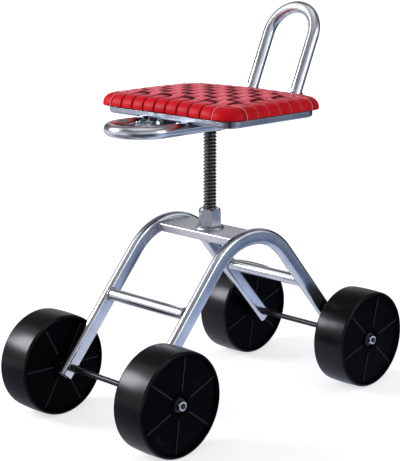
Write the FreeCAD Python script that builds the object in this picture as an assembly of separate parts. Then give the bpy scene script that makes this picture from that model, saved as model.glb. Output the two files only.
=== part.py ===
import FreeCAD, Part
import math
import os

V = FreeCAD.Vector

# Rolling garden seat. Millimetres, +Z up, front towards -Y.
# The origin is on the floor, under the axis of the lifting screw.

# Driving dimensions
wheel_dia = 180.0
wheel_width = 68.0
wheel_track = 291.0
wheel_base = 493.0
leg_angle = 49.0
arch_bend_r = 115.0
tube_depth = 28.0
tube_width = 16.0
tube_wall = 1.5
tube_corner = 5.0
bridge_depth = 75.0
bridge_height = 15.0
bridge_drop = 13.0
bridge_wall = 2.0
cross_dia = 21.3
cross_wall = 2.0
cross_height = 203.6
cross_shift = 4.0
axle_dia = 10.0
screw_dia = 24.0
screw_pitch = 6.0
lift_turns = 20
nut_flats = 36.0
nut_height = 36.0
nut_turn = 26.0
rail_dia = 21.3
rail_wall = 2.0
rail_spacing = 106.0
rail_height = 508.6
loop_reach = 215.0
back_lean = 24.5
back_height = 701.0
back_line_y = 150.1
seat_width = 328.0
seat_depth = 245.0
seat_corner = 36.0
seat_crown = 25.5
crown_drop = 4.0
edge_roll = 17.0
edge_tuck = 2.5

# Clearances
run_fit = 0.08
thread_fit = 0.06
hole_fit = 0.25
side_play = 0.2

# Derived heights and planes
wheel_r = wheel_dia / 2
axle_z = wheel_r
axle_y = wheel_base / 2
wheel_x = wheel_track / 2
wheel_in_x = wheel_x - wheel_width / 2
leg_out_x = wheel_in_x - 4.0
leg_mid_x = leg_out_x - tube_width / 2
leg_in_x = leg_out_x - tube_width
leg_c = math.cos(math.radians(leg_angle))
leg_s = math.sin(math.radians(leg_angle))
bend_end_y = arch_bend_r * leg_s
bend_end_z = axle_z + (axle_y - bend_end_y) * leg_s / leg_c
bend_mid_z = bend_end_z - arch_bend_r * leg_c
arch_apex_z = bend_mid_z + arch_bend_r
arch_top_z = arch_apex_z + tube_depth / 2
leg_tail = 17.0
bridge_top = arch_top_z - bridge_drop
bridge_low = bridge_top - bridge_height
nut_top = bridge_top + nut_height
cross_y = axle_y - (cross_height - axle_z) * leg_c / leg_s + cross_shift
rail_x = rail_spacing / 2
rail_top = rail_height + rail_dia / 2
rail_low = rail_height - rail_dia / 2
plate_thick = 3.0
plate_top = rail_height + 1.0
plate_low = plate_top - plate_thick
plate_half = rail_x - rail_dia / 2
flange_thick = 17.6
flange_low = plate_low - flange_thick
pan_skirt = 2.75
pan_low = rail_top - pan_skirt
pan_height = 13.0
pan_top = pan_low + pan_height
pan_sheet = 2.0
pan_floor = pan_top - pan_sheet
pan_inset = 11.0
stop_gap = 0.2
stop_thick = 4.0
stop_top = bridge_low - stop_gap
screw_low = stop_top + stop_gap


def solid_of(shape):
    # A clean single solid from a boolean result.
    clean = shape.removeSplitter()
    if len(clean.Solids) == 1:
        return clean.Solids[0]
    return clean


def cylinder(radius, length, base, axis):
    return Part.makeCylinder(radius, length, base, axis)


def hexagon(flats, base, axis, length, turned=0.0):
    # A hexagon bar along an axis, turned about it by some degrees.
    bar = Part.Face(Part.Wire(hex_edges(flats, turned))).extrude(V(0, 0, length))
    turn = FreeCAD.Rotation(V(0, 0, 1), axis)
    bar.Placement = FreeCAD.Placement(base, turn)
    return bar


def hex_edges(flats, turned):
    corner = flats / math.sqrt(3)
    points = []
    for i in range(6):
        a = math.radians(60 * i + turned)
        points.append(V(corner * math.cos(a), corner * math.sin(a), 0))
    edges = []
    for i in range(6):
        edges.append(Part.makeLine(points[i], points[(i + 1) % 6]))
    return edges


def chamfered_hex(flats, base, axis, length):
    # A hexagon with its outer end rounded off by a cone, as nuts and heads are.
    bar = hexagon(flats, base, axis, length)
    corner = flats / math.sqrt(3)
    rise = length * 0.45
    low = cylinder(corner + 1, length - rise, base, axis)
    tip = base + axis * (length - rise)
    cone = Part.makeCone(corner + 0.05, corner + 0.05 - rise * 0.45, rise, tip, axis)
    return bar.common(low.fuse(cone))


def rounded_wire(half_a, half_b, r, z):
    # A rounded rectangle in a level plane.
    k = r * (1 - math.sqrt(0.5))
    a = half_a
    b = half_b
    p = [V(a, -b + r, z), V(a, b - r, z), V(a - r, b, z), V(-a + r, b, z)]
    p += [V(-a, b - r, z), V(-a, -b + r, z), V(-a + r, -b, z), V(a - r, -b, z)]
    m = [V(a - k, b - k, z), V(-a + k, b - k, z), V(-a + k, -b + k, z), V(a - k, -b + k, z)]
    edges = []
    for i in range(4):
        edges.append(Part.makeLine(p[2 * i], p[2 * i + 1]))
        edges.append(Part.Arc(p[2 * i + 1], m[i], p[(2 * i + 2) % 8]).toShape())
    return Part.Wire(edges)


def round_tube(path, at, along, radius, wall):
    # A round tube swept along a path, open at both ends.
    shapes = []
    for r in (radius, radius - wall):
        ring = Part.Wire(Part.makeCircle(r, at, along))
        shapes.append(path.makePipeShell([ring], True, False))
    return solid_of(shapes[0].cut(shapes[1]))


def arch_path(x):
    foot_y = axle_y + leg_tail * leg_c
    foot_z = axle_z - leg_tail * leg_s
    front = V(x, -foot_y, foot_z)
    rear = V(x, foot_y, foot_z)
    a = V(x, -bend_end_y, bend_end_z)
    b = V(x, bend_end_y, bend_end_z)
    bend = Part.Arc(a, V(x, 0, arch_apex_z), b).toShape()
    return Part.Wire([Part.makeLine(front, a), bend, Part.makeLine(b, rear)])


def arch_section(x, depth, width, corner):
    # The tube's section, set square to the front leg at its foot.
    wire = rounded_wire(width / 2, depth / 2, corner, 0)
    foot = V(x, -(axle_y + leg_tail * leg_c), axle_z - leg_tail * leg_s)
    tilt = FreeCAD.Rotation(V(1, 0, 0), leg_angle - 90)
    wire.Placement = FreeCAD.Placement(foot, tilt)
    return wire


def make_arch(side):
    x = side * leg_mid_x
    path = arch_path(x)
    outer = path.makePipeShell([arch_section(x, tube_depth, tube_width, tube_corner)], True, False)
    in_depth = tube_depth - 2 * tube_wall
    in_width = tube_width - 2 * tube_wall
    in_corner = tube_corner - tube_wall
    inner = path.makePipeShell([arch_section(x, in_depth, in_width, in_corner)], True, False)
    tube = outer.cut(inner)
    for y in (-axle_y, axle_y):
        hole = cylinder(axle_dia / 2 + thread_fit, tube_width + 8, V(x - tube_width / 2 - 4, y, axle_z), V(1, 0, 0))
        tube = tube.cut(hole)
    return solid_of(tube)


def make_bridge():
    # Flat tube between the two arches, with the screw passing down through it.
    box = Part.Face(rounded_wire(bridge_depth / 2, bridge_height / 2, 2.5, 0))
    hollow = Part.Face(rounded_wire(bridge_depth / 2 - bridge_wall, bridge_height / 2 - bridge_wall, 0.8, 0))
    tube = box.cut(hollow).extrude(V(0, 0, 2 * leg_in_x))
    turn = FreeCAD.Rotation(V(0, 0, 1), V(1, 0, 0)).multiply(FreeCAD.Rotation(V(0, 0, 1), 90))
    tube.Placement = FreeCAD.Placement(V(-leg_in_x, 0, bridge_low + bridge_height / 2), turn)
    hole = cylinder(screw_dia / 2 + 1.0, bridge_height + 8, V(0, 0, bridge_low - 4), V(0, 0, 1))
    return solid_of(tube.cut(hole))


def make_lift_nut():
    body = hexagon(nut_flats, V(0, 0, bridge_top), V(0, 0, 1), nut_height, nut_turn)
    corner = nut_flats / math.sqrt(3)
    low = cylinder(corner + 1, nut_height - 4, V(0, 0, bridge_top), V(0, 0, 1))
    tip = Part.makeCone(corner + 0.3, corner - 3.2, 4, V(0, 0, nut_top - 4), V(0, 0, 1))
    body = body.common(low.fuse(tip))
    bore = cylinder(screw_dia / 2 + thread_fit, nut_height + 8, V(0, 0, bridge_top - 4), V(0, 0, 1))
    lead = Part.makeCone(screw_dia / 2 + thread_fit, screw_dia / 2 + 1.6, 1.6, V(0, 0, nut_top - 1.6), V(0, 0, 1))
    return solid_of(body.cut(bore).cut(lead))


def make_nut_weld():
    # The fillet of weld round the foot of the lifting nut.
    corner = nut_flats / math.sqrt(3)
    wide = corner + 5.0
    run = [V(corner - 4, 0, bridge_top), V(wide, 0, bridge_top), V(wide - 1.2, 0, bridge_top + 2.6)]
    run += [V(corner + 0.8, 0, bridge_top + 5.4), V(corner - 4, 0, bridge_top + 6.0), V(corner - 4, 0, bridge_top)]
    ring = Part.Face(Part.makePolygon(run)).revolve(V(0, 0, 0), V(0, 0, 1), 360)
    return solid_of(ring.cut(hexagon(nut_flats, V(0, 0, bridge_top - 4), V(0, 0, 1), nut_height, nut_turn)))


def make_cross_tube(side):
    y = side * cross_y
    outer = cylinder(cross_dia / 2, 2 * leg_in_x, V(-leg_in_x, y, cross_height), V(1, 0, 0))
    inner = cylinder(cross_dia / 2 - cross_wall, 2 * leg_in_x, V(-leg_in_x, y, cross_height), V(1, 0, 0))
    return solid_of(outer.cut(inner))


# Wheel hub stack, measured out from the leg
hub_spacer_out = leg_out_x + 5.5
hub_in_x = hub_spacer_out + side_play
hub_out_x = wheel_x + 25.5
washer_in_x = hub_out_x + side_play
washer_thick = 2.0
wheel_nut_in = washer_in_x + washer_thick
wheel_nut_high = 8.0
axle_end = wheel_nut_in + wheel_nut_high + 2.0
collar_long = 14.0
collar_r = 6.8
bush_r = 8.0
hub_r = 17.0
boss_r = 20.0
boss_rise = 2.0
wheel_skin = 4.0
dish_deep = 5.0
rim_wide = 7.0
shoulder_r = 5.0
rib_r = 1.9
blow_hole_r = 3.0


def make_axle(side):
    y = side * axle_y
    rod = cylinder(axle_dia / 2, 2 * axle_end, V(-axle_end, y, axle_z), V(1, 0, 0))
    ends = [e for e in rod.Edges if len(e.Vertexes) == 1]
    return rod.makeChamfer(1.0, ends)


def ring_at(x, y, radius, bore, length, side):
    # A ring on an axle, reaching outwards from x on the given side.
    axis = V(side, 0, 0)
    base = V(side * x, y, axle_z)
    ring = cylinder(radius, length, base, axis)
    return ring.cut(cylinder(bore, length, base, axis))


def each_hub(make):
    made = []
    for side in (-1, 1):
        for end in (-1, 1):
            made.append(make(side, end * axle_y))
    return Part.makeCompound(made)


def axle_collar(side, y):
    # A round sleeve on the axle, against the inside of the leg.
    base = V(side * leg_in_x, y, axle_z)
    axis = V(-side, 0, 0)
    taper = 2.0
    body = cylinder(collar_r, collar_long - taper, base, axis)
    tip = base + axis * (collar_long - taper)
    body = body.fuse(Part.makeCone(collar_r, collar_r - 1.0, taper, tip, axis))
    return solid_of(body.cut(cylinder(axle_dia / 2 + thread_fit, collar_long, base, axis)))


def hub_spacer(side, y):
    return ring_at(leg_out_x, y, 11.0, axle_dia / 2 + thread_fit, hub_spacer_out - leg_out_x, side)


def wheel_washer(side, y):
    return ring_at(washer_in_x, y, 12.0, axle_dia / 2 + thread_fit, washer_thick, side)


def wheel_nut(side, y):
    base = V(side * wheel_nut_in, y, axle_z)
    nut = chamfered_hex(16.0, base, V(side, 0, 0), wheel_nut_high)
    return solid_of(nut.cut(cylinder(axle_dia / 2 + thread_fit, wheel_nut_high, base, V(side, 0, 0))))


def hub_bush(side, y):
    return ring_at(hub_in_x, y, bush_r, axle_dia / 2 + run_fit, hub_out_x - hub_in_x, side)


def wheel_profile():
    # Half section of the wheel, (distance out from its middle plane, radius), outer skin.
    w = wheel_width / 2
    r = wheel_r
    c = shoulder_r
    k = c * (1 - math.sqrt(0.5))
    hub_in = hub_in_x - wheel_x
    hub_out = hub_out_x - wheel_x
    rim = r - rim_wide
    dish = w - dish_deep
    boss = dish + boss_rise
    p = []
    p.append(Part.makeLine(V(hub_in, bush_r, 0), V(hub_in, hub_r, 0)))
    p.append(Part.makeLine(V(hub_in, hub_r, 0), V(-dish, hub_r + 3, 0)))
    p.append(Part.makeLine(V(-dish, hub_r + 3, 0), V(-dish, rim - 2, 0)))
    p.append(Part.makeLine(V(-dish, rim - 2, 0), V(-w, rim, 0)))
    p.append(Part.makeLine(V(-w, rim, 0), V(-w, r - 1 - c, 0)))
    p.append(Part.Arc(V(-w, r - 1 - c, 0), V(-w + k, r - 1 - k, 0), V(-w + c, r - 1, 0)).toShape())
    p.append(Part.Arc(V(-w + c, r - 1, 0), V(0, r, 0), V(w - c, r - 1, 0)).toShape())
    p.append(Part.Arc(V(w - c, r - 1, 0), V(w - k, r - 1 - k, 0), V(w, r - 1 - c, 0)).toShape())
    p.append(Part.makeLine(V(w, r - 1 - c, 0), V(w, rim, 0)))
    p.append(Part.makeLine(V(w, rim, 0), V(dish, rim - 2, 0)))
    p.append(Part.makeLine(V(dish, rim - 2, 0), V(dish, boss_r + 0.8, 0)))
    p.append(Part.makeLine(V(dish, boss_r + 0.8, 0), V(boss, boss_r, 0)))
    p.append(Part.makeLine(V(boss, boss_r, 0), V(boss, boss_r - 3.4, 0)))
    p.append(Part.makeLine(V(boss, boss_r - 3.4, 0), V(hub_out, boss_r - 4.4, 0)))
    p.append(Part.makeLine(V(hub_out, boss_r - 4.4, 0), V(hub_out, bush_r, 0)))
    p.append(Part.makeLine(V(hub_out, bush_r, 0), V(hub_in, bush_r, 0)))
    return Part.Wire(p)


def wheel_cavity():
    # The air space of the blow-moulded wheel.
    w = wheel_width / 2 - dish_deep - wheel_skin
    high = wheel_r - wheel_skin - 2.0
    low = boss_r + 1.0
    flat = [V(-w, low, 0), V(w, low, 0), V(w, high, 0), V(-w, high, 0), V(-w, low, 0)]
    return Part.Face(Part.makePolygon(flat)).revolve(V(0, 0, 0), V(1, 0, 0), 360)


# How far each wheel happens to be rolled, by (side, end)
rib_turn = {(-1, -1): 32, (1, -1): -8, (-1, 1): 10, (1, 1): -14}


def make_wheel(side, end):
    body = Part.Face(wheel_profile()).revolve(V(0, 0, 0), V(1, 0, 0), 360)
    body = body.cut(wheel_cavity())
    dish = wheel_width / 2 - dish_deep
    rib_low = hub_r + 2.8
    rib_long = wheel_r - rim_wide - 1.4 - rib_low
    for face in (-1, 1):
        for i in range(6):
            rib = cylinder(rib_r, rib_long, V(face * (dish - 0.4), 0, rib_low), V(0, 0, 1))
            rib.rotate(V(0, 0, 0), V(1, 0, 0), 60 * i + rib_turn[(side, end)])
            body = body.fuse(rib)
    hole_at = V(-wheel_width / 2, -0.47 * wheel_r, 0.27 * wheel_r)
    body = body.cut(cylinder(blow_hole_r, dish_deep + 2 * wheel_skin, hole_at, V(1, 0, 0)))
    if side < 0:
        body.rotate(V(0, 0, 0), V(0, 0, 1), 180)
    body.translate(V(side * wheel_x, end * axle_y, axle_z))
    return solid_of(body)


# Screw, its stop and its head
stop_bore = 6.0
stop_r = 17.0
bolt_head_high = 6.4


def make_stop_washer():
    ring = cylinder(stop_r, stop_thick, V(0, 0, stop_top - stop_thick), V(0, 0, 1))
    return ring.cut(cylinder(stop_bore + run_fit, stop_thick, V(0, 0, stop_top - stop_thick), V(0, 0, 1)))


def make_lift_screw():
    rod = cylinder(screw_dia / 2, plate_low - screw_low, V(0, 0, screw_low), V(0, 0, 1))
    ends = [e for e in rod.Edges if len(e.Vertexes) == 1 and e.BoundBox.ZMax < screw_low + 1]
    rod = rod.makeChamfer(1.5, ends)
    return solid_of(rod.cut(cylinder(stop_bore, 32, V(0, 0, screw_low), V(0, 0, 1))))


def make_stop_bolt():
    # The shoulder bolt that keeps the stop washer on the end of the screw.
    head_top = stop_top - stop_thick - stop_gap
    head = chamfered_hex(17.0, V(0, 0, head_top), V(0, 0, -1), bolt_head_high)
    shank = cylinder(stop_bore, screw_low + 30 - head_top, V(0, 0, head_top), V(0, 0, 1))
    return solid_of(head.fuse(shank))


def make_screw_flange():
    # The dished head of the screw: a wide saucer below, a neck up to the plate.
    bore = screw_dia / 2
    saucer = 3.4 * bore
    neck = 2.5 * bore
    run = [(bore, 0.0), (1.8 * bore, 0.0), (saucer, 6.5), (saucer, 10.0), (neck, 12.5), (neck, flange_thick)]
    run.append((bore, flange_thick))
    points = [V(r, 0, flange_low + z) for r, z in run]
    points.append(points[0])
    return solid_of(Part.Face(Part.makePolygon(points)).revolve(V(0, 0, 0), V(0, 0, 1), 360))


stud_x = 24.0
stud_front = -96.0
stud_rear = 64.0
stud_r = 4.0
plate_front = -180.0
plate_rear = 112.0
lug_x = 36.0
lug_front = -136.0
lug_rear = 84.0
lug_half = 9.0
lug_thick = 3.0
lug_bolt_r = 3.0
lug_bolt_flats = 10.0
lug_bolt_high = 5.0


def stud_places():
    return [(x, y) for x in (-stud_x, stud_x) for y in (stud_front, stud_rear)]


def lug_places():
    return [(x, y) for x in (-lug_x, lug_x) for y in (lug_front, lug_rear)]


def make_mount_plate():
    # A plate that lies between the rails and reaches forward into the loop.
    long_half = (plate_rear - plate_front) / 2
    plate = Part.Face(rounded_wire(plate_half, long_half, 20.0, plate_low)).extrude(V(0, 0, plate_thick))
    plate.translate(V(0, (plate_front + plate_rear) / 2, 0))
    for x, y in stud_places():
        plate = plate.cut(cylinder(stud_r + hole_fit, plate_thick, V(x, y, plate_low), V(0, 0, 1)))
    for x, y in lug_places():
        plate = plate.cut(cylinder(lug_bolt_r + hole_fit, plate_thick, V(x, y, plate_low), V(0, 0, 1)))
    return solid_of(plate)


def make_rail_lugs():
    # Tabs on the inner sides of the rails, under the plate.
    drop = rail_height - plate_low
    out = rail_x - math.sqrt((rail_dia / 2) ** 2 - drop ** 2)
    wide = out - lug_x + lug_half
    made = []
    for x, y in lug_places():
        low = out - wide if x > 0 else -out
        tab = Part.makeBox(wide, 2 * lug_half, lug_thick, V(low, y - lug_half, plate_low - lug_thick))
        hole = cylinder(lug_bolt_r + hole_fit, 3 * lug_thick, V(x, y, plate_low - 2 * lug_thick), V(0, 0, 1))
        made.append(tab.cut(hole))
    return Part.makeCompound(made)


def make_plate_bolts():
    made = []
    long = plate_thick + lug_thick + 1.6 * lug_bolt_high
    for x, y in lug_places():
        head = chamfered_hex(lug_bolt_flats, V(x, y, plate_top), V(0, 0, 1), lug_bolt_high)
        made.append(solid_of(head.fuse(cylinder(lug_bolt_r, long, V(x, y, plate_top), V(0, 0, -1)))))
    return Part.makeCompound(made)


def make_plate_nuts():
    made = []
    for x, y in lug_places():
        seat = V(x, y, plate_low - lug_thick)
        nut = chamfered_hex(lug_bolt_flats, seat, V(0, 0, -1), lug_bolt_high)
        made.append(solid_of(nut.cut(cylinder(lug_bolt_r + thread_fit, lug_bolt_high, seat, V(0, 0, -1)))))
    return Part.makeCompound(made)


# The rail tube and the backrest
lean_s = math.sin(math.radians(back_lean))
lean_c = math.cos(math.radians(back_lean))
back_bend_r = 32.0
bend_len = back_bend_r * math.tan(math.radians(90 - back_lean) / 2)
rail_tip = bend_len + 7.0
spigot_end = rail_tip + 2.2 * rail_dia
bolt_up = 39.0
bolt_r = 3.0
head_r = 5.0
head_edge = 1.2
head_cone = 1.6
bolt_nut_flats = 10.0
bolt_nut_high = 6.0


def up_leg(x, s):
    # A point on the backrest leg, s millimetres up from the corner with the rail.
    return V(x, back_line_y + s * lean_s, rail_height + s * lean_c)


def bend_middle(x):
    # The middle of the bend between rail and backrest leg, on the line that halves their angle.
    open_half = math.radians(90 + back_lean) / 2
    near = back_bend_r / math.sin(open_half) - back_bend_r
    return V(x, back_line_y - near * math.cos(open_half), rail_height + near * math.sin(open_half))


def make_seat_rail():
    left = -rail_x
    right = rail_x
    nose = -(loop_reach - rail_x)
    back = back_line_y - bend_len
    e = []
    e.append(Part.makeLine(up_leg(left, rail_tip), up_leg(left, bend_len)))
    e.append(Part.Arc(up_leg(left, bend_len), bend_middle(left), V(left, back, rail_height)).toShape())
    e.append(Part.makeLine(V(left, back, rail_height), V(left, nose, rail_height)))
    e.append(Part.Arc(V(left, nose, rail_height), V(0, -loop_reach, rail_height), V(right, nose, rail_height)).toShape())
    e.append(Part.makeLine(V(right, nose, rail_height), V(right, back, rail_height)))
    e.append(Part.Arc(V(right, back, rail_height), bend_middle(right), up_leg(right, bend_len)).toShape())
    e.append(Part.makeLine(up_leg(right, bend_len), up_leg(right, rail_tip)))
    return round_tube(Part.Wire(e), up_leg(left, rail_tip), V(0, lean_s, lean_c), rail_dia / 2, rail_wall)


def make_backrest_hoop():
    top = (back_height - rail_dia / 2 - rail_height) / lean_c
    turn = top - rail_x
    left = -rail_x
    right = rail_x
    e = []
    e.append(Part.makeLine(up_leg(left, rail_tip), up_leg(left, turn)))
    e.append(Part.Arc(up_leg(left, turn), up_leg(0, top), up_leg(right, turn)).toShape())
    e.append(Part.makeLine(up_leg(right, turn), up_leg(right, rail_tip)))
    tube = round_tube(Part.Wire(e), up_leg(left, rail_tip), V(0, lean_s, lean_c), rail_dia / 2, rail_wall)
    for x in (left, right):
        tube = tube.cut(cylinder(bolt_r + hole_fit, 2 * rail_dia, bolt_base(x, -rail_dia), bolt_axis()))
    return solid_of(tube)


def bolt_axis():
    # Across the backrest leg, from front to rear.
    return V(0, lean_c, -lean_s)


def bolt_base(x, back):
    return up_leg(x, bolt_up) + bolt_axis() * back


def make_hoop_spigots():
    made = []
    for x in (-rail_x, rail_x):
        start = up_leg(x, bend_len)
        axis = V(0, lean_s, lean_c)
        rod = cylinder(rail_dia / 2 - rail_wall - thread_fit, spigot_end - bend_len, start, axis)
        rod = rod.cut(cylinder(rail_dia / 2 - rail_wall - 2.5, spigot_end - bend_len, start, axis))
        hole = cylinder(bolt_r + hole_fit, 2 * rail_dia, bolt_base(x, -rail_dia), bolt_axis())
        made.append(solid_of(rod.cut(hole)))
    return Part.makeCompound(made)


def make_backrest_bolts():
    # Low round heads with a hexagon socket.
    made = []
    for x in (-rail_x, rail_x):
        seat = bolt_base(x, -rail_dia / 2)
        front = bolt_axis() * -1
        head = cylinder(head_r, head_edge, seat, front)
        head = head.fuse(Part.makeCone(head_r, 0.64 * head_r, head_cone, seat + front * head_edge, front))
        socket = hexagon(0.8 * head_r, seat + front * head_edge, front, 2 * head_cone)
        head = head.cut(socket)
        shank = cylinder(bolt_r, rail_dia + 1.5 * bolt_nut_high, seat, bolt_axis())
        made.append(solid_of(head.fuse(shank)))
    return Part.makeCompound(made)


def make_backrest_nuts():
    made = []
    for x in (-rail_x, rail_x):
        seat = bolt_base(x, rail_dia / 2)
        nut = chamfered_hex(bolt_nut_flats, seat, bolt_axis(), bolt_nut_high)
        hole = cylinder(bolt_r + thread_fit, bolt_nut_high, seat, bolt_axis())
        made.append(solid_of(nut.cut(hole)))
    return Part.makeCompound(made)


clip_thick = 2.5
clip_wide = 14.0
clip_y = 101.0
clip_foot = 9.0


def make_seat_pan():
    # Pressed sheet pan, open underneath, with a rolled lip that is notched over the rails.
    a = seat_width / 2 - pan_inset
    b = seat_depth / 2 - pan_inset
    r = seat_corner - pan_inset + 2
    outer = Part.Face(rounded_wire(a, b, r, pan_low)).extrude(V(0, 0, pan_height))
    edges = [e for e in outer.Edges if e.BoundBox.ZMin > pan_top - 0.1]
    outer = outer.makeFillet(3.0, edges)
    edges = [e for e in outer.Edges if e.BoundBox.ZMax < pan_low + 0.1]
    outer = outer.makeFillet(5.0, edges)
    t = pan_sheet
    inner = Part.Face(rounded_wire(a - t, b - t, r - t, pan_low + t)).extrude(V(0, 0, pan_height - 2 * t))
    edges = [e for e in inner.Edges if e.BoundBox.ZMin > pan_floor - 0.1]
    inner = inner.makeFillet(1.2, edges)
    edges = [e for e in inner.Edges if e.BoundBox.ZMax < pan_low + t + 0.1]
    inner = inner.makeFillet(3.0, edges)
    lip = 7.0
    mouth = Part.Face(rounded_wire(a - lip, b - lip, r - lip, pan_low - 1)).extrude(V(0, 0, t + 3))
    pan = outer.cut(inner).cut(mouth)
    for x in (-rail_x, rail_x):
        wide = rail_dia + 2 * (clip_thick + side_play + 0.6)
        notch = Part.makeBox(wide, seat_depth, pan_skirt + 1, V(x - wide / 2, -seat_depth / 2, pan_low - 1))
        pan = pan.cut(notch)
    return solid_of(pan)


def make_seat_clips():
    # Brackets beside the rails, standing on the plate and holding up the pan.
    made = []
    high = pan_floor - plate_top
    for side in (-1, 1):
        for y in (-clip_y, clip_y):
            near = plate_half - side_play
            at = V(near - clip_thick, y - clip_wide / 2, plate_top)
            clip = Part.makeBox(clip_thick, clip_wide, high, at)
            foot = V(near - clip_foot, y - clip_wide / 2, plate_top)
            clip = clip.fuse(Part.makeBox(clip_foot, clip_wide, clip_thick, foot))
            clip = clip.fuse(Part.makeBox(clip_foot, clip_wide, clip_thick, foot + V(0, 0, high - clip_thick)))
            if side < 0:
                clip = clip.mirror(V(0, 0, 0), V(1, 0, 0))
            made.append(solid_of(clip))
    return Part.makeCompound(made)


def make_seat_studs():
    made = []
    for x, y in stud_places():
        made.append(cylinder(stud_r, pan_floor - plate_low + 10, V(x, y, plate_low - 10), V(0, 0, 1)))
    return Part.makeCompound(made)


def stud_nuts(z, axis, high):
    made = []
    for x, y in stud_places():
        nut = chamfered_hex(13.0, V(x, y, z), axis, high)
        made.append(solid_of(nut.cut(cylinder(stud_r + thread_fit, high, V(x, y, z), axis))))
    return Part.makeCompound(made)


def make_seat_cushion():
    # Rounded cushion under one shallow dome, with its rim drawn in all round.
    wire = rounded_wire(seat_width / 2, seat_depth / 2, seat_corner, pan_top)
    block = Part.Face(wire).extrude(V(0, 0, seat_crown + 5))
    reach = seat_width ** 2 / 4
    dome_r = reach / (2 * crown_drop)
    dome = Part.makeSphere(dome_r, V(0, 0, pan_top + seat_crown - dome_r))
    block = block.common(dome)
    top = [e for e in block.Edges if e.BoundBox.ZMin > pan_top + 12]
    block = block.makeFillet(edge_roll, top)
    low = [e for e in block.Edges if e.BoundBox.ZMax < pan_top + 0.1]
    return solid_of(block.makeFillet(edge_tuck, low))


def build():
    parts = {}
    parts["left_arch"] = make_arch(-1)
    parts["right_arch"] = make_arch(1)
    parts["bridge_tube"] = make_bridge()
    parts["lift_nut"] = make_lift_nut()
    parts["nut_weld"] = make_nut_weld()
    parts["front_cross_tube"] = make_cross_tube(-1)
    parts["rear_cross_tube"] = make_cross_tube(1)
    parts["front_axle"] = make_axle(-1)
    parts["rear_axle"] = make_axle(1)
    parts["axle_collars"] = each_hub(axle_collar)
    parts["hub_spacers"] = each_hub(hub_spacer)
    parts["wheel_washers"] = each_hub(wheel_washer)
    parts["wheel_nuts"] = each_hub(wheel_nut)
    for end, fore in ((-1, "front"), (1, "rear")):
        for side, hand in ((-1, "left"), (1, "right")):
            parts["wheel_%s_%s" % (fore, hand)] = make_wheel(side, end)
            parts["bush_%s_%s" % (fore, hand)] = hub_bush(side, end * axle_y)
    parts["stop_washer"] = make_stop_washer()
    parts["lift_screw"] = make_lift_screw()
    parts["stop_bolt"] = make_stop_bolt()
    parts["screw_flange"] = make_screw_flange()
    parts["mount_plate"] = make_mount_plate()
    parts["rail_lugs"] = make_rail_lugs()
    parts["plate_bolts"] = make_plate_bolts()
    parts["plate_nuts"] = make_plate_nuts()
    parts["seat_rail"] = make_seat_rail()
    parts["hoop_spigots"] = make_hoop_spigots()
    parts["backrest_hoop"] = make_backrest_hoop()
    parts["backrest_bolts"] = make_backrest_bolts()
    parts["backrest_nuts"] = make_backrest_nuts()
    parts["seat_pan"] = make_seat_pan()
    parts["seat_clips"] = make_seat_clips()
    parts["seat_studs"] = make_seat_studs()
    parts["stud_jam_nuts"] = stud_nuts(plate_top, V(0, 0, 1), 5.0)
    parts["stud_lock_nuts"] = stud_nuts(plate_low, V(0, 0, -1), 8.0)
    parts["seat_cushion"] = make_seat_cushion()
    return parts


os.makedirs("parts", exist_ok=True)
for name, shape in build().items():
    shape.exportStep("parts/%s.step" % name)
    box = shape.BoundBox
    print(name, len(shape.Solids), shape.isValid(), round(shape.Volume / 1000, 2), "cm3",
          [round(v, 1) for v in (box.XMin, box.XMax, box.YMin, box.YMax, box.ZMin, box.ZMax)])
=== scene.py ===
import math

import bmesh
import bpy
from mathutils import Matrix, Vector


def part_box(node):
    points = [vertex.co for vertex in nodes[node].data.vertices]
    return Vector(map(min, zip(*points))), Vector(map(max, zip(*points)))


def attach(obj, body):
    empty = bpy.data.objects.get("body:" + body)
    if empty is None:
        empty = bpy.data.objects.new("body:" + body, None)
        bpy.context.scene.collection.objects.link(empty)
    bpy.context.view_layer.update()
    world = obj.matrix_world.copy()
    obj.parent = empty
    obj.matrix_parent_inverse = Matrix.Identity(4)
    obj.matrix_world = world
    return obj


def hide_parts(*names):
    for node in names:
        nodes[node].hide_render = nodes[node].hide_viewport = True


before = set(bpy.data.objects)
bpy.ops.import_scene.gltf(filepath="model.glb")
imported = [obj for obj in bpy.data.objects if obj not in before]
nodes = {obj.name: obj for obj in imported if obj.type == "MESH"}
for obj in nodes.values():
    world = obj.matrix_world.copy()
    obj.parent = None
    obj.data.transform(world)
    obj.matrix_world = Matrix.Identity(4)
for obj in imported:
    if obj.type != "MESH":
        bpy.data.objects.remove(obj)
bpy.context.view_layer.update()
MM = 0.001

# Sizes shared with the solids, in millimetres
WHEEL_X = 145.5
AXLE_Y = 246.5
AXLE_Z = 90.0
LEG_ANGLE = math.radians(49.0)
ARCH_BEND = 115.0
ARCH_X = 99.5
ARCH_DEPTH = 28.0
ARCH_WIDTH = 16.0
ARCH_WALL = 1.5
LEG_TAIL = 17.0
LEG_IN = 91.5
CROSS_Y = 151.75
CROSS_Z = 203.6
CROSS_R = 10.65
RAIL_X = 53.0
RAIL_Z = 508.6
RAIL_R = 10.65
RAIL_WALL = 2.0
LOOP_REACH = 215.0
BACK_LEAN = math.radians(24.5)
BACK_Y = 150.1
BACK_TOP = 701.0
BACK_BEND = 32.0
SEAT_A = 164.0
SEAT_B = 122.5
SEAT_CORNER = 36.0
SEAT_LOW = 529.5
SEAT_TOP = 555.0
CROWN_DROP = 4.0
SEAT_DOME = SEAT_A ** 2 / (2 * CROWN_DROP)
SCREW_R = 12.0
SCREW_PITCH = 6.0

# Sizes of the drawn detail, in millimetres
THREAD_DEEP = 2.4
ARCH_CORNER = 6.6
TREAD_LINES = (168.5, 121.5)
STRAP_WIDE = 24.6
STRAP_MIDDLE = 12.1


# Materials

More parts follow.
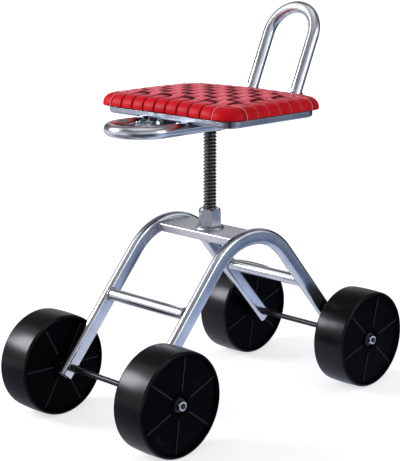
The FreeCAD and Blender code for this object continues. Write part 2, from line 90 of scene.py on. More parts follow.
class Value:
    """A shader socket that can be used in sums."""

    def __init__(self, tree, socket):
        self.tree = tree
        self.socket = socket

    def maths(self, operation, first, second=0.0):
        node = self.tree.nodes.new("ShaderNodeMath")
        node.operation = operation
        for slot, item in zip(node.inputs, (first, second)):
            put(self.tree, slot, item)
        return Value(self.tree, node.outputs[0])

    def __add__(self, other):
        return self.maths("ADD", self, other)

    def __sub__(self, other):
        return self.maths("SUBTRACT", self, other)

    def __rsub__(self, other):
        return self.maths("SUBTRACT", other, self)

    def __mul__(self, other):
        return self.maths("MULTIPLY", self, other)

    def __truediv__(self, other):
        return self.maths("DIVIDE", self, other)

    def root(self):
        return self.maths("SQRT", self)

    def size(self):
        return self.maths("ABSOLUTE", self)

    def wave(self):
        return self.maths("SINE", self)

    __radd__ = __add__
    __rmul__ = __mul__


def put(tree, slot, item):
    if isinstance(item, Value):
        tree.links.new(item.socket, slot)
    else:
        slot.default_value = item


class Finish:
    """A material with one principled shader and a way to add any node, or the world's node tree."""

    def __init__(self, name, tree=None):
        if tree:
            self.tree = tree
            return
        self.material = bpy.data.materials.new(name)
        self.material.use_nodes = True
        self.tree = self.material.node_tree
        self.shader = self.tree.nodes["Principled BSDF"]

    def add(self, kind, settings=None, sockets=None, out=0):
        node = self.tree.nodes.new(kind)
        for key, setting in (settings or {}).items():
            if key == "stops":
                stops = node.color_ramp.elements
                while len(stops) < len(setting):
                    stops.new(1.0)
                for stop, (place, colour) in zip(stops, setting):
                    stop.position = place
                    stop.color = colour
            else:
                setattr(node, key, setting)
        for key, item in (sockets or {}).items():
            put(self.tree, node.inputs[key], item)
        return Value(self.tree, node.outputs[out])

    def place(self, scale=(1.0, 1.0, 1.0)):
        here = self.add("ShaderNodeTexCoord", out="Object")
        return self.add("ShaderNodeMapping", None, {"Vector": here, "Scale": scale})

    def split(self, vector):
        node = self.tree.nodes.new("ShaderNodeSeparateXYZ")
        put(self.tree, node.inputs[0], vector)
        return [Value(self.tree, out) for out in node.outputs]

    def noise(self, scale, detail=3.0, rough=0.55, at=None):
        at = at or self.place()
        settings = {"Vector": at, "Scale": scale, "Detail": detail, "Roughness": rough}
        return self.add("ShaderNodeTexNoise", None, settings)

    def ramp(self, value, low, high):
        # 0 below low, 1 above high, smooth between.
        sockets = {"Value": value, "From Min": low, "From Max": high}
        return self.add("ShaderNodeMapRange", {"interpolation_type": "SMOOTHSTEP"}, sockets)

    def mix(self, share, first, second):
        node = self.tree.nodes.new("ShaderNodeMix")
        node.data_type = "RGBA"
        put(self.tree, node.inputs[0], share)
        for slot, item in ((node.inputs[6], first), (node.inputs[7], second)):
            put(self.tree, slot, item if isinstance(item, Value) else tuple(item) + (1.0,))
        return Value(self.tree, node.outputs[2])

    def bump(self, height, strength, distance):
        sockets = {"Height": height, "Strength": strength, "Distance": distance}
        return self.add("ShaderNodeBump", None, sockets)

    def set(self, **sockets):
        for key, item in sockets.items():
            slot = self.shader.inputs[key.replace("_", " ")]
            if isinstance(item, tuple) and len(item) == 3:
                item = item + (1.0,)
            put(self.tree, slot, item)
        return self.material


def zinc_finish(name, pale, deep, shine, grain):
    # Bright plated steel: cloudy plating, drawn streaks and small handling marks.
    f = Finish(name)
    cloud = f.noise(26.0, 4.0, 0.6)
    streak = f.noise(9.0, 5.0, 0.7, f.place((60.0, 4.0, 4.0)))
    fine = f.noise(700.0, 2.0, 0.5)
    marks = f.ramp(f.noise(95.0, 5.0, 0.75), 0.60, 0.72)
    colour = f.mix(f.ramp(cloud, 0.35, 0.7), deep, pale)
    colour = f.mix(marks * 0.35, colour, (0.30, 0.32, 0.36))
    rough = shine + 0.06 * cloud + 0.05 * streak + 0.12 * marks
    normal = f.bump(fine * 0.15 + streak * 0.6 + marks * 0.5, grain, 0.0003)
    return f.set(Base_Color=colour, Metallic=1.0, Roughness=rough, Normal=normal)


def spangle_finish(name):
    # Hot-dip galvanised: crystal patches of slightly different grey.
    f = Finish(name)
    cells = f.add("ShaderNodeTexVoronoi", {"feature": "F1"}, {"Vector": f.place(), "Scale": 260.0}, "Color")
    patch = f.add("ShaderNodeSeparateColor", None, {"Color": cells})
    cloud = f.noise(60.0, 4.0, 0.6)
    colour = f.mix(patch * 0.6 + cloud * 0.4, (0.56, 0.58, 0.65), (0.74, 0.76, 0.83))
    normal = f.bump(cloud + patch * 0.3, 0.04, 0.0006)
    return f.set(Base_Color=colour, Metallic=1.0, Roughness=0.15 + 0.1 * patch, Normal=normal)


def weld_finish(name):
    # Scaly bead, grey in its hollows.
    f = Finish(name)
    scale = f.noise(240.0, 5.0, 0.7)
    colour = f.mix(f.ramp(scale, 0.35, 0.7), (0.20, 0.21, 0.23), (0.66, 0.68, 0.71))
    normal = f.bump(scale, 0.5, 0.0008)
    return f.set(Base_Color=colour, Metallic=0.95, Roughness=0.28 + 0.3 * scale, Normal=normal)


def black_steel_finish(name):
    # Blackened steel with scuffs.
    f = Finish(name)
    cloud = f.noise(70.0, 4.0, 0.65)
    scuff = f.ramp(f.noise(190.0, 5.0, 0.7, f.place((1.0, 0.35, 1.0))), 0.58, 0.74)
    colour = f.mix(scuff * 0.5, (0.010, 0.010, 0.012), (0.09, 0.09, 0.10))
    normal = f.bump(cloud + scuff * 0.4, 0.12, 0.0004)
    return f.set(Base_Color=colour, Metallic=0.35, Roughness=0.26 + 0.2 * cloud, Normal=normal)


def screw_finish(name):
    # Black thread with its crests rubbed bright.
    f = Finish(name)
    x, y = f.split(f.place())[:2]
    radius = (x * x + y * y).root()
    worn = f.ramp(radius, 0.01110, 0.01190) * f.ramp(f.noise(130.0, 4.0, 0.7), 0.32, 0.56)
    grease = f.noise(300.0, 4.0, 0.6)
    colour = f.mix(worn * 0.8, (0.009, 0.008, 0.008), (0.36, 0.34, 0.33))
    normal = f.bump(grease, 0.10, 0.0004)
    f.set(Coat_Weight=0.8, Coat_Roughness=0.12, Coat_IOR=1.6)
    return f.set(Base_Color=colour, Metallic=0.3 + 0.6 * worn, Roughness=0.24 + 0.24 * grease, Normal=normal)


def wheel_finish(name):
    # Moulded black plastic: dull faces with the rib tops painted lighter, a painted highlight along the ribs,
    # a glossy tread with the ring lines of the mould.
    f = Finish(name)
    x, y, z = f.split(f.place())
    x = x.size()
    y = y.size() - AXLE_Y * MM
    z = z - AXLE_Z * MM
    radius = (y * y + z * z).root()
    side = (x - WHEEL_X * MM).size()
    cloud = f.noise(18.0, 4.0, 0.6)
    grain = f.noise(900.0, 2.0, 0.5)
    scratch = f.ramp(f.noise(26.0, 6.0, 0.72, f.place((9.0, 1.0, 1.3))), 0.62, 0.70)
    scuff = f.ramp(f.noise(46.0, 5.0, 0.75, f.place((1.0, 1.0, 2.0))), 0.62, 0.80)
    ring = 0.0
    for at in TREAD_LINES:
        ring = 1.0 - f.ramp((x - at * MM).size(), 0.0004, 0.0011) + ring
    rib_highlight = f.ramp(side, 0.0296, 0.0306) * (1.0 - f.ramp(side, 0.0312, 0.0320))
    rib_highlight = rib_highlight * f.ramp(radius, 0.0225, 0.0260) * (1.0 - f.ramp(radius, 0.0790, 0.0820))
    lines = (x * 1500.0).wave() * f.ramp(radius, 0.0870, 0.0895)
    colour = f.mix(cloud, (0.0005, 0.0005, 0.0011), (0.0014, 0.0014, 0.0028))
    colour = f.mix(scuff * 0.12, colour, (0.030, 0.031, 0.040))
    colour = f.mix(scratch * 0.10, colour, (0.060, 0.061, 0.070))
    # Painted highlight: the tops of the ribs are painted lighter.
    colour = f.mix(rib_highlight * 0.9, colour, (0.034, 0.034, 0.038))
    rough = 0.34 + 0.14 * cloud + 0.12 * scuff
    height = grain * 0.25 + scratch * 0.4 + cloud * 0.6 + lines * 0.5 - ring * 1.5
    tread = f.ramp(radius, 0.0840, 0.0885) * 0.46
    f.set(Specular_IOR_Level=0.02, Coat_Weight=tread, Coat_Roughness=0.26, Coat_IOR=1.5)
    return f.set(Base_Color=colour, Roughness=rough, Normal=f.bump(height, 0.14, 0.0005))


def dark_plastic_finish(name):
    # Dark nylon, lightly clouded.
    f = Finish(name)
    cloud = f.noise(120.0, 3.0, 0.6)
    colour = f.mix(cloud, (0.05, 0.05, 0.05), (0.11, 0.11, 0.11))
    return f.set(Base_Color=colour, Roughness=0.4 + 0.15 * cloud, Normal=f.bump(cloud, 0.1, 0.0004))


def sheet_finish(name, pale, deep, shine, shaded_underside=False):
    # Rolled sheet steel, dull plated, with rolling lines and stains.
    # A sheet can have painted shade: dark and not metallic on its hollow underside, beneath the seat.
    f = Finish(name)
    roll = f.noise(14.0, 5.0, 0.7, f.place((3.0, 40.0, 3.0)))
    stain = f.noise(22.0, 5.0, 0.65)
    colour = f.mix(f.ramp(stain, 0.35, 0.7), deep, pale)
    rough = shine + 0.08 * stain + 0.03 * roll
    metal = 0.95
    if shaded_underside:
        # Painted shade on the underside, inside the pan's outline.
        x, y, z = f.split(f.place())
        underside_shade = (1.0 - f.ramp(x.size(), 0.146, 0.149)) * (1.0 - f.ramp(y.size(), 0.1045, 0.1075))
        underside_shade = underside_shade * (1.0 - f.ramp(z, 0.5278, 0.5284))
        colour = f.mix(underside_shade, colour, (0.035, 0.028, 0.028))
        metal = 0.95 - underside_shade * 0.95
    normal = f.bump(roll + stain, 0.01, 0.0004)
    return f.set(Base_Color=colour, Metallic=metal, Roughness=rough, Normal=normal)


def strap_finish(name, highlight_high):
    # Red coated strap: fine grain, drawn lines along it and shiny on top. Its colour holds painted light: a
    # painted sheen makes it paler and pinker on top than the deep red over the rim, painted shade darkens its
    # edges in the gaps between straps, where it dives under its neighbour and where it tucks under the rim,
    # and a painted highlight makes the edges of cross straps pale over the rim. In the weave one edge has a
    # painted highlight instead of shade: the one where the map across the strap is high, or else the other.
    f = Finish(name)
    across = f.split(f.add("ShaderNodeUVMap", {"uv_map": "strap"}))[0]
    ride, rimward = f.split(f.add("ShaderNodeUVMap", {"uv_map": "weave"}))[:2]
    over = rimward.size()
    # Painted highlight: the edges of cross straps over the rim are painted pale.
    edge_glint_share = f.ramp(rimward * -1.0, 0.5, 0.9)
    lines = (across * 2600.0).wave() * 0.5 + 0.5
    # Painted shade along the edges, in the gaps between straps, except where they are painted pale.
    edge_shade_and_glint = f.ramp((across - STRAP_MIDDLE * MM).size() - over * 0.0026, 0.0076, 0.0100)
    # Painted highlight along one edge of the strap in the weave.
    edge_highlight = f.ramp(across if highlight_high else STRAP_WIDE * MM - across, 0.0140, 0.0205) * (1.0 - over)
    edge_shade_and_glint = edge_shade_and_glint * (1.0 - edge_highlight)
    # Painted shade where the strap tucks under the rim.
    tuck_shade = 1.0 - f.ramp(f.split(f.place())[2], (SEAT_LOW + 0.6) * MM, (SEAT_LOW + 3.0) * MM)
    # Painted shade where the strap dives under its neighbour.
    dive_shade = 1.0 - f.ramp(ride, 0.30, 0.80)
    grain = f.noise(1100.0, 3.0, 0.6)
    cloud = f.noise(34.0, 4.0, 0.6)
    # Painted sheen: paler and pinker on top, deep red over the rim where it is left out.
    top = f.mix(f.ramp(cloud, 0.3, 0.7), (0.66, 0.074, 0.104), (0.76, 0.096, 0.130))
    rim = f.mix(f.ramp(cloud, 0.3, 0.7), (0.50, 0.002, 0.007), (0.57, 0.003, 0.010))
    colour = f.mix(edge_highlight * 0.7, f.mix(over, top, rim), (0.80, 0.23, 0.27))
    colour = f.mix(edge_shade_and_glint * 0.9, colour, f.mix(edge_glint_share, (0.06, 0.002, 0.005), (0.60, 0.10, 0.13)))
    colour = f.mix(dive_shade * 0.8, colour, (0.09, 0.003, 0.007))
    colour = f.mix(tuck_shade, colour, (0.03, 0.002, 0.004))
    rough = 0.38 + 0.12 * cloud + 0.06 * lines
    normal = f.bump(lines * 0.35 + grain * 0.5, 0.16, 0.0004)
    gloss = (1.0 - over) * (1.0 - dive_shade) * 0.16 + over * 0.11
    f.set(Specular_IOR_Level=0.04, Coat_Weight=gloss, Coat_Roughness=0.40, Coat_IOR=1.5)
    return f.set(Base_Color=colour, Roughness=rough, Normal=normal)


def cover_finish(name, first, second):
    # Dull grained cover in two clouded reds.
    f = Finish(name)
    grain = f.noise(900.0, 3.0, 0.6)
    cloud = f.noise(30.0, 4.0, 0.6)
    colour = f.mix(cloud, first, second)
    return f.set(Base_Color=colour, Roughness=0.42 + 0.1 * cloud, Normal=f.bump(grain, 0.14, 0.0004))


ZINC = zinc_finish("bright_zinc_tube", (0.70, 0.72, 0.76), (0.58, 0.60, 0.65), 0.14, 0.05)
ZINC_ROUND = zinc_finish("satin_zinc_round_tube", (0.70, 0.72, 0.76), (0.58, 0.60, 0.65), 0.15, 0.05)
ZINC_FLAT = zinc_finish("satin_zinc_flat_tube", (0.72, 0.73, 0.76), (0.60, 0.61, 0.65), 0.36, 0.06)
HARDWARE = zinc_finish("bright_hardware", (0.80, 0.81, 0.82), (0.62, 0.64, 0.67), 0.16, 0.12)
GALVANISED = spangle_finish("galvanised_nut")
WELD = weld_finish("weld_bead")
BLACK_STEEL = black_steel_finish("black_steel")
SCREW = screw_finish("black_screw")
WHEEL = wheel_finish("black_moulded_wheel")
BUSH = dark_plastic_finish("dark_nylon_bush")
PLATE = sheet_finish("grey_plate", (0.27, 0.29, 0.33), (0.17, 0.18, 0.21), 0.34)
PAN = sheet_finish("plated_pan", (0.42, 0.44, 0.50), (0.33, 0.35, 0.41), 0.26, True)
STRAP = strap_finish("red_strap", False)
CROSS_STRAP = strap_finish("red_cross_strap", True)
CORE = cover_finish("dark_red_cover", (0.075, 0.002, 0.006), (0.12, 0.004, 0.010))
# Pale piping: its pale colour is a painted highlight along the corner panels' edges.
PIPING = cover_finish("pale_piping", (0.70, 0.16, 0.20), (0.80, 0.26, 0.30))

NODE_FINISH = {
    "bridge_tube": ZINC_FLAT, "lift_nut": GALVANISED, "nut_weld": WELD,
    "front_cross_tube": ZINC, "rear_cross_tube": ZINC, "left_arch": ZINC, "right_arch": ZINC,
    "front_axle": BLACK_STEEL, "rear_axle": BLACK_STEEL, "axle_collars": BLACK_STEEL,
    "hub_spacers": HARDWARE, "wheel_washers": BLACK_STEEL, "wheel_nuts": HARDWARE,
    "wheel_front_left": WHEEL, "wheel_front_right": WHEEL,
    "wheel_rear_left": WHEEL, "wheel_rear_right": WHEEL,
    "bush_front_left": BUSH, "bush_front_right": BUSH, "bush_rear_left": BUSH, "bush_rear_right": BUSH,
    "stop_washer": HARDWARE, "lift_screw": SCREW, "stop_bolt": HARDWARE, "screw_flange": BLACK_STEEL,
    "mount_plate": PLATE, "rail_lugs": PLATE, "plate_bolts": HARDWARE, "plate_nuts": HARDWARE,
    "seat_rail": ZINC_ROUND, "hoop_spigots": HARDWARE, "backrest_hoop": ZINC_ROUND,
    "backrest_bolts": HARDWARE, "backrest_nuts": HARDWARE, "seat_pan": PAN, "seat_clips": HARDWARE,
    "seat_studs": HARDWARE, "stud_jam_nuts": HARDWARE, "stud_lock_nuts": HARDWARE, "seat_cushion": CORE,
}
for node_name, finish in NODE_FINISH.items():
    mesh = nodes[node_name].data
    mesh.materials.clear()
    mesh.materials.append(finish)


# Making pieces

def finish_piece(bm, name, material, body, sharp=40.0, stands_for=()):
    # Turns a bmesh in millimetres into a named object that rides on a body.
    bmesh.ops.scale(bm, vec=(MM, MM, MM), verts=bm.verts)
    mesh = bpy.data.meshes.new(name)
    bm.to_mesh(mesh)
    bm.free()
    mesh.materials.append(material)
    for face in mesh.polygons:
        face.use_smooth = True
    mesh.set_sharp_from_angle(angle=math.radians(sharp))
    piece = bpy.data.objects.new(name, mesh)
    bpy.context.scene.collection.objects.link(piece)
    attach(piece, body)
    if stands_for:
        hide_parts(*stands_for)
    return piece


def clean(bm):
    # Joins doubled corners and turns all faces outward.
    bmesh.ops.remove_doubles(bm, verts=bm.verts, dist=0.01)
    bmesh.ops.recalc_face_normals(bm, faces=bm.faces)


# Camera, light and floor, in metres apart from the lens, which is in millimetres

CAMERA_TURN = math.radians(44.58)
CAMERA_RISE = math.radians(12.92)
CAMERA_FAR = 2.4327
CAMERA_LENS = 107.06
CAMERA_SHIFT = -0.0016
# Where the camera aims: how far to the right of the middle, and how high
AIM_RIGHT = -0.0172
AIM_HIGH = 0.3099
# The camera's bearing, rounded, for tones of the room that lie towards it, away from it or across
BEARING_X = 0.70
BEARING_Y = 0.71
# Brightness of the even light all round, and what the camera sees added to the floor
SOFT_FILL = 0.54
FLOOR_LIFT = 0.36
# Name, place, aim, size, power and colour
LAMPS = (
    ("key_left", (-1.66, -1.49, 1.32), (0.0, -0.2, 0.2), (0.8, 0.85), 50.0, (0.92, 0.94, 1.0)),
    ("top_soft", (0.3, -0.2, 2.4), (0.0, 0.0, 0.3), (2.6, 2.6), 8.0, (1.0, 1.0, 1.0)),
    ("right_fill", (2.2, 0.6, 1.1), (0.0, 0.0, 0.35), (0.9, 1.4), 9.0, (0.92, 0.96, 1.0)),
)


def set_camera():
    level = math.cos(CAMERA_RISE)
    back = Vector((math.sin(CAMERA_TURN) * level, -math.cos(CAMERA_TURN) * level, math.sin(CAMERA_RISE)))
    right = Vector((math.cos(CAMERA_TURN), math.sin(CAMERA_TURN), 0.0))
    target = right * AIM_RIGHT + Vector((0.0, 0.0, AIM_HIGH))
    data = bpy.data.cameras.new("photo_camera")
    data.sensor_width = 36.0
    data.lens = CAMERA_LENS
    data.shift_y = CAMERA_SHIFT
    data.clip_end = 200.0
    camera = bpy.data.objects.new("photo_camera", data)
    bpy.context.scene.collection.objects.link(camera)
    camera.rotation_mode = "QUATERNION"
    camera.location = target + back * CAMERA_FAR
    camera.rotation_quaternion = (-back).to_track_quat("-Z", "Y")
    bpy.context.scene.camera = camera


def add_lamp(name, at, aim, size, power, colour):
    data = bpy.data.lights.new(name, "AREA")
    data.shape = "RECTANGLE"
    data.size = size[0]
    data.size_y = size[1]
    data.energy = power
    data.color = colour
    lamp = bpy.data.objects.new(name, data)
    bpy.context.scene.collection.objects.link(lamp)
    lamp.location = at
    lamp.rotation_mode = "QUATERNION"
    lamp.rotation_quaternion = (Vector(aim) - Vector(at)).to_track_quat("-Z", "Y")


def set_world():
    # White for the camera, an even soft fill, and a plain room for the reflections in plated steel: pale round
    # the horizon and straight behind, dark to the left and right of that, white on the right and by the key
    # lamp, a little darker towards the camera, with a dark ceiling that is pale only overhead.
    world = bpy.data.worlds.new("studio")
    bpy.context.scene.world = world
    world.use_nodes = True
    f = Finish("studio", world.node_tree)
    f.tree.nodes.clear()
    way = f.add("ShaderNodeTexCoord", out="Generated")
    x, y, z = f.split(way)
    stops = [(0.0, (0.80, 0.81, 0.85, 1.0)), (0.15, (0.66, 0.66, 0.70, 1.0)),
             (0.30, (0.52, 0.52, 0.55, 1.0)), (0.45, (0.34, 0.34, 0.35, 1.0)),
             (0.60, (0.20, 0.19, 0.19, 1.0)), (0.76, (0.16, 0.15, 0.15, 1.0)),
             (0.90, (0.18, 0.18, 0.19, 1.0)), (1.0, (0.75, 0.77, 0.80, 1.0))]
    room = f.add("ShaderNodeValToRGB", {"stops": stops}, {"Fac": z})
    back = f.ramp(y * BEARING_Y - x * BEARING_X, 0.50, 0.90) * (1.0 - f.ramp(z, 0.30, 0.50))
    room = f.mix(back, room, (0.72, 0.72, 0.75))
    left = f.ramp(x * -1.0, 0.73, 0.86) * (1.0 - f.ramp(z, 0.40, 0.55))
    room = f.mix(left, room, (0.09, 0.09, 0.10))
    behind = f.ramp(y, 0.73, 0.90) * (1.0 - f.ramp(z, 0.30, 0.50))
    room = f.mix(behind, room, (0.03, 0.035, 0.05))
    right = f.ramp(x, 0.46, 0.66) * (1.0 - f.ramp(z, 0.40, 0.60))
    room = f.mix(right, room, (1.05, 1.06, 1.12))
    panel = f.ramp(x * -0.684 - y * 0.36 + z * 0.635, 0.94, 0.97)
    room = f.mix(panel, room, (1.22, 1.22, 1.25))
    near = f.ramp(x * BEARING_X - y * BEARING_Y, 0.62, 0.90)
    room = f.mix(near * 0.30, room, (0.16, 0.17, 0.20))
    parts = []
    fill = (0.94, 0.96, 1.0, 1.0)
    white = (1.0, 1.0, 1.0, 1.0)
    for colour, strength in ((fill, SOFT_FILL), (room, 1.0), (white, 1.0)):
        node = f.tree.nodes.new("ShaderNodeBackground")
        put(f.tree, node.inputs["Color"], colour)
        node.inputs["Strength"].default_value = strength
        parts.append(node.outputs[0])
    path = f.tree.nodes.new("ShaderNodeLightPath")
    shown = parts[0]
    for ray, part in (("Is Glossy Ray", parts[1]), ("Is Camera Ray", parts[2])):
        node = f.tree.nodes.new("ShaderNodeMixShader")
        f.tree.links.new(path.outputs[ray], node.inputs[0])
        f.tree.links.new(shown, node.inputs[1])
        f.tree.links.new(part, node.inputs[2])
        shown = node.outputs[0]
    out = f.tree.nodes.new("ShaderNodeOutputWorld")
    f.tree.links.new(shown, out.inputs[0])


def set_floor():
    # White to the camera with a soft shadow. Its reflection is pale, blue on the right and dimmer further off,
    # white far away on the left, dark towards the camera and behind, and dark in a patch on either side: the
    # one on the right is a painted shadow of the part.
    bm = bmesh.new()
    bmesh.ops.create_grid(bm, x_segments=1, y_segments=1, size=60.0)
    mesh = bpy.data.meshes.new("studio_floor")
    bm.to_mesh(mesh)
    bm.free()
    floor = bpy.data.objects.new("studio_floor", mesh)
    bpy.context.scene.collection.objects.link(floor)
    f = Finish("white_floor")
    f.set(Base_Color=(0.93, 0.93, 0.935), Roughness=0.9, Specular_IOR_Level=0.1)
    x, y = f.split(f.place())[:2]
    far = (x * x + y * y).root()
    across = x * BEARING_X + y * BEARING_Y
    ahead = x * BEARING_X - y * BEARING_Y
    tone = f.mix(f.ramp(across, -0.2, 0.7), (0.80, 0.80, 0.90), (0.50, 0.62, 0.88))
    tone = f.mix(f.ramp(far, 1.4, 2.4), tone, (0.93, 0.94, 0.97))
    tone = f.mix(f.ramp(across, 0.95, 1.60), tone, (0.20, 0.25, 0.36))
    # The first patch is a painted shadow of the part, seen only in the floor's reflection.
    # Place, inner and outer radius, share and colour
    patches = ((0.66, 0.78, 0.10, 0.48, 0.85, (0.03, 0.06, 0.11)),
               (-0.27, -0.65, 0.25, 0.60, 0.8, (0.16, 0.16, 0.24)))
    for patch_x, patch_y, inner, outer, share, shade in patches:
        from_x = x - patch_x
        from_y = y - patch_y
        patch = 1.0 - f.ramp((from_x * from_x + from_y * from_y).root(), inner, outer)
        tone = f.mix(patch * share, tone, shade)
    behind = f.ramp(ahead * -1.0 / (far + 0.01), 0.60, 0.90) * f.ramp(far, 0.5, 1.2)
    tone = f.mix(behind * 0.8, tone, (0.30, 0.31, 0.34))
    back = f.ramp(y / (far + 0.01), 0.80, 0.95) * f.ramp(far, 0.9, 1.5)
    tone = f.mix(back, tone, (0.03, 0.035, 0.05))
    front = f.ramp(ahead / (far + 0.01), 0.62, 0.90) * f.ramp(far, 0.25, 0.60)
    tone = f.mix(front * 0.9, tone, (0.020, 0.025, 0.045))
    path = f.tree.nodes.new("ShaderNodeLightPath")
    camera = Value(f.tree, path.outputs["Is Camera Ray"])
    glossy = Value(f.tree, path.outputs["Is Glossy Ray"])
    glow = f.tree.nodes.new("ShaderNodeEmission")
    put(f.tree, glow.inputs["Color"], f.mix(glossy, (1.0, 1.0, 1.0), tone))
    put(f.tree, glow.inputs["Strength"], 1.0 + camera * FLOOR_LIFT)
    blend = f.tree.nodes.new("ShaderNodeMixShader")
    lit = 0.50 + 0.35 * f.ramp(far, 0.75, 1.6)
    put(f.tree, blend.inputs[0], camera * lit + glossy)
    f.tree.links.new(f.shader.outputs[0], blend.inputs[1])
    f.tree.links.new(glow.outputs[0], blend.inputs[2])
    f.tree.links.new(blend.outputs[0], f.tree.nodes["Material Output"].inputs[0])
    mesh.materials.append(f.material)


set_camera()
set_world()
set_floor()
for lamp in LAMPS:
    add_lamp(*lamp)
bpy.context.scene.view_settings.view_transform = "Standard"


# Lifting screw

def make_screw():
    # One turn of the thread's outline, swept up a helix and cut off level at both ends.
    low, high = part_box("lift_screw")
    bm = bmesh.new()
    core = SCREW_R - THREAD_DEEP
    shape = [(core, 0.0), (core, 1.3), (SCREW_R, 2.5), (SCREW_R, 4.2), (core, 5.5), (core, SCREW_PITCH)]
    start = low.z / MM - SCREW_PITCH
    points = [bm.verts.new((r, 0.0, start + z)) for r, z in shape]
    edges = [bm.edges.new(pair) for pair in zip(points, points[1:])]
    turns = int((high.z - low.z) / MM / SCREW_PITCH) + 2
    steps = 36
    bmesh.ops.spin(bm, geom=points + edges, cent=(0.0, 0.0, 0.0), axis=(0.0, 0.0, 1.0),
                   dvec=(0.0, 0.0, SCREW_PITCH / steps), angle=2 * math.pi * turns, steps=steps * turns)
    bmesh.ops.remove_doubles(bm, verts=bm.verts, dist=0.02)
    for z, way in ((low.z / MM, -1.0), (high.z / MM, 1.0)):
        bmesh.ops.bisect_plane(bm, geom=bm.verts[:] + bm.edges[:] + bm.faces[:], plane_co=(0.0, 0.0, z),
                               plane_no=(0.0, 0.0, way), clear_outer=True)
        rim = [e for e in bm.edges if e.is_boundary and all(abs(v.co.z - z) < 0.01 for v in e.verts)]
        bmesh.ops.triangle_fill(bm, edges=rim, use_beauty=True)
    clean(bm)
    finish_piece(bm, "threaded_lift_screw", SCREW, "seat", 35.0, ("lift_screw",))


make_screw()


# Bent tubes

END_RING = 0.4
BEND_LEN = BACK_BEND * math.tan((math.pi / 2 - BACK_LEAN) / 2)
RAIL_STUB = 7.0
RAIL_TIP = BEND_LEN + RAIL_STUB
HOOP_GAP = 0.3
LEG_UP = Vector((0.0, math.sin(BACK_LEAN), math.cos(BACK_LEAN)))


def once(items):
    # Each item once, in the order they come.
    return list(dict.fromkeys(items))


def add_ring(bm, radius, at, along, segments):
    # A ring of edges round a place, square to the way along.
    turn = Vector((0.0, 0.0, 1.0)).rotation_difference(Vector(along)).to_matrix().to_4x4()
    place = Matrix.Translation(at) @ turn
    made = bmesh.ops.create_circle(bm, cap_ends=False, segments=segments, radius=radius, matrix=place)
    return once(e for v in made["verts"] for e in v.link_edges)


def run_on(bm, edges, by):
    # Carries an open end straight on and gives the new end.
    made = bmesh.ops.extrude_edge_only(bm, edges=edges)["geom"]
    moved = [g for g in made if isinstance(g, bmesh.types.BMVert)]
    bmesh.ops.translate(bm, verts=moved, vec=by)
    fresh = set(moved)
    return [g for g in made if isinstance(g, bmesh.types.BMEdge) and set(g.verts) <= fresh]


def bend_on(bm, edges, centre, axis, angle, steps):
    # Carries an open end round a bend and gives the new end.
    points = once(v for e in edges for v in e.verts)
    made = bmesh.ops.spin(bm, geom=points + edges, cent=centre, axis=axis, angle=angle, steps=steps)
    return [g for g in made["geom_last"] if isinstance(g, bmesh.types.BMEdge)]


def run_in(bm, edges, by):
    # The first or last length of a tube, with rings close to both of its ends.
    short = by.normalized() * END_RING
    edges = run_on(bm, edges, short)
    edges = run_on(bm, edges, by - 2 * short)
    return run_on(bm, edges, short)


def wall(piece, thick):
    # Gives a skin its thickness, inward.
    skin = piece.modifiers.new("tube_wall", "SOLIDIFY")
    skin.thickness = thick * MM
    skin.offset = -1.0
    skin.use_rim = True


def up_leg(x, s):
    # A point on a leg of the backrest, s up from where its line meets the rail's.
    return Vector((x, BACK_Y + s * math.sin(BACK_LEAN), RAIL_Z + s * math.cos(BACK_LEAN)))


def make_rail():
    # Down from the left tip, forward under the seat, round the loop and back to the right tip.
    bm = bmesh.new()
    turn = math.pi / 2 - BACK_LEAN
    edges = add_ring(bm, RAIL_R, up_leg(-RAIL_X, RAIL_TIP), LEG_UP, 32)
    edges = run_in(bm, edges, LEG_UP * -RAIL_STUB)
    back = BACK_Y - BEND_LEN
    edges = bend_on(bm, edges, (-RAIL_X, back, RAIL_Z + BACK_BEND), (1.0, 0.0, 0.0), -turn, 12)
    nose = LOOP_REACH - RAIL_X
    edges = run_on(bm, edges, (0.0, -nose - back, 0.0))
    edges = bend_on(bm, edges, (0.0, -nose, RAIL_Z), (0.0, 0.0, 1.0), math.pi, 36)
    edges = run_on(bm, edges, (0.0, nose + back, 0.0))
    edges = bend_on(bm, edges, (RAIL_X, back, RAIL_Z + BACK_BEND), (1.0, 0.0, 0.0), turn, 12)
    run_in(bm, edges, LEG_UP * RAIL_STUB)
    clean(bm)
    piece = finish_piece(bm, "bent_seat_rail", ZINC_ROUND, "seat", 60.0, ("seat_rail",))
    wall(piece, RAIL_WALL)


def make_hoop():
    # Up from the left tip of the rail, round the bow and down to the right tip.
    bm = bmesh.new()
    start = RAIL_TIP + HOOP_GAP
    across = Vector((0.0, math.cos(BACK_LEAN), -math.sin(BACK_LEAN)))
    top = (BACK_TOP - RAIL_R - RAIL_Z) / math.cos(BACK_LEAN)
    turn = top - RAIL_X
    edges = add_ring(bm, RAIL_R, up_leg(-RAIL_X, start), LEG_UP, 32)
    edges = run_in(bm, edges, LEG_UP * (turn - start))
    edges = bend_on(bm, edges, up_leg(0.0, turn), across, math.pi, 36)
    run_in(bm, edges, LEG_UP * -(turn - start))
    clean(bm)
    piece = finish_piece(bm, "bent_backrest_hoop", ZINC_ROUND, "seat", 60.0, ("backrest_hoop",))
    wall(piece, RAIL_WALL)


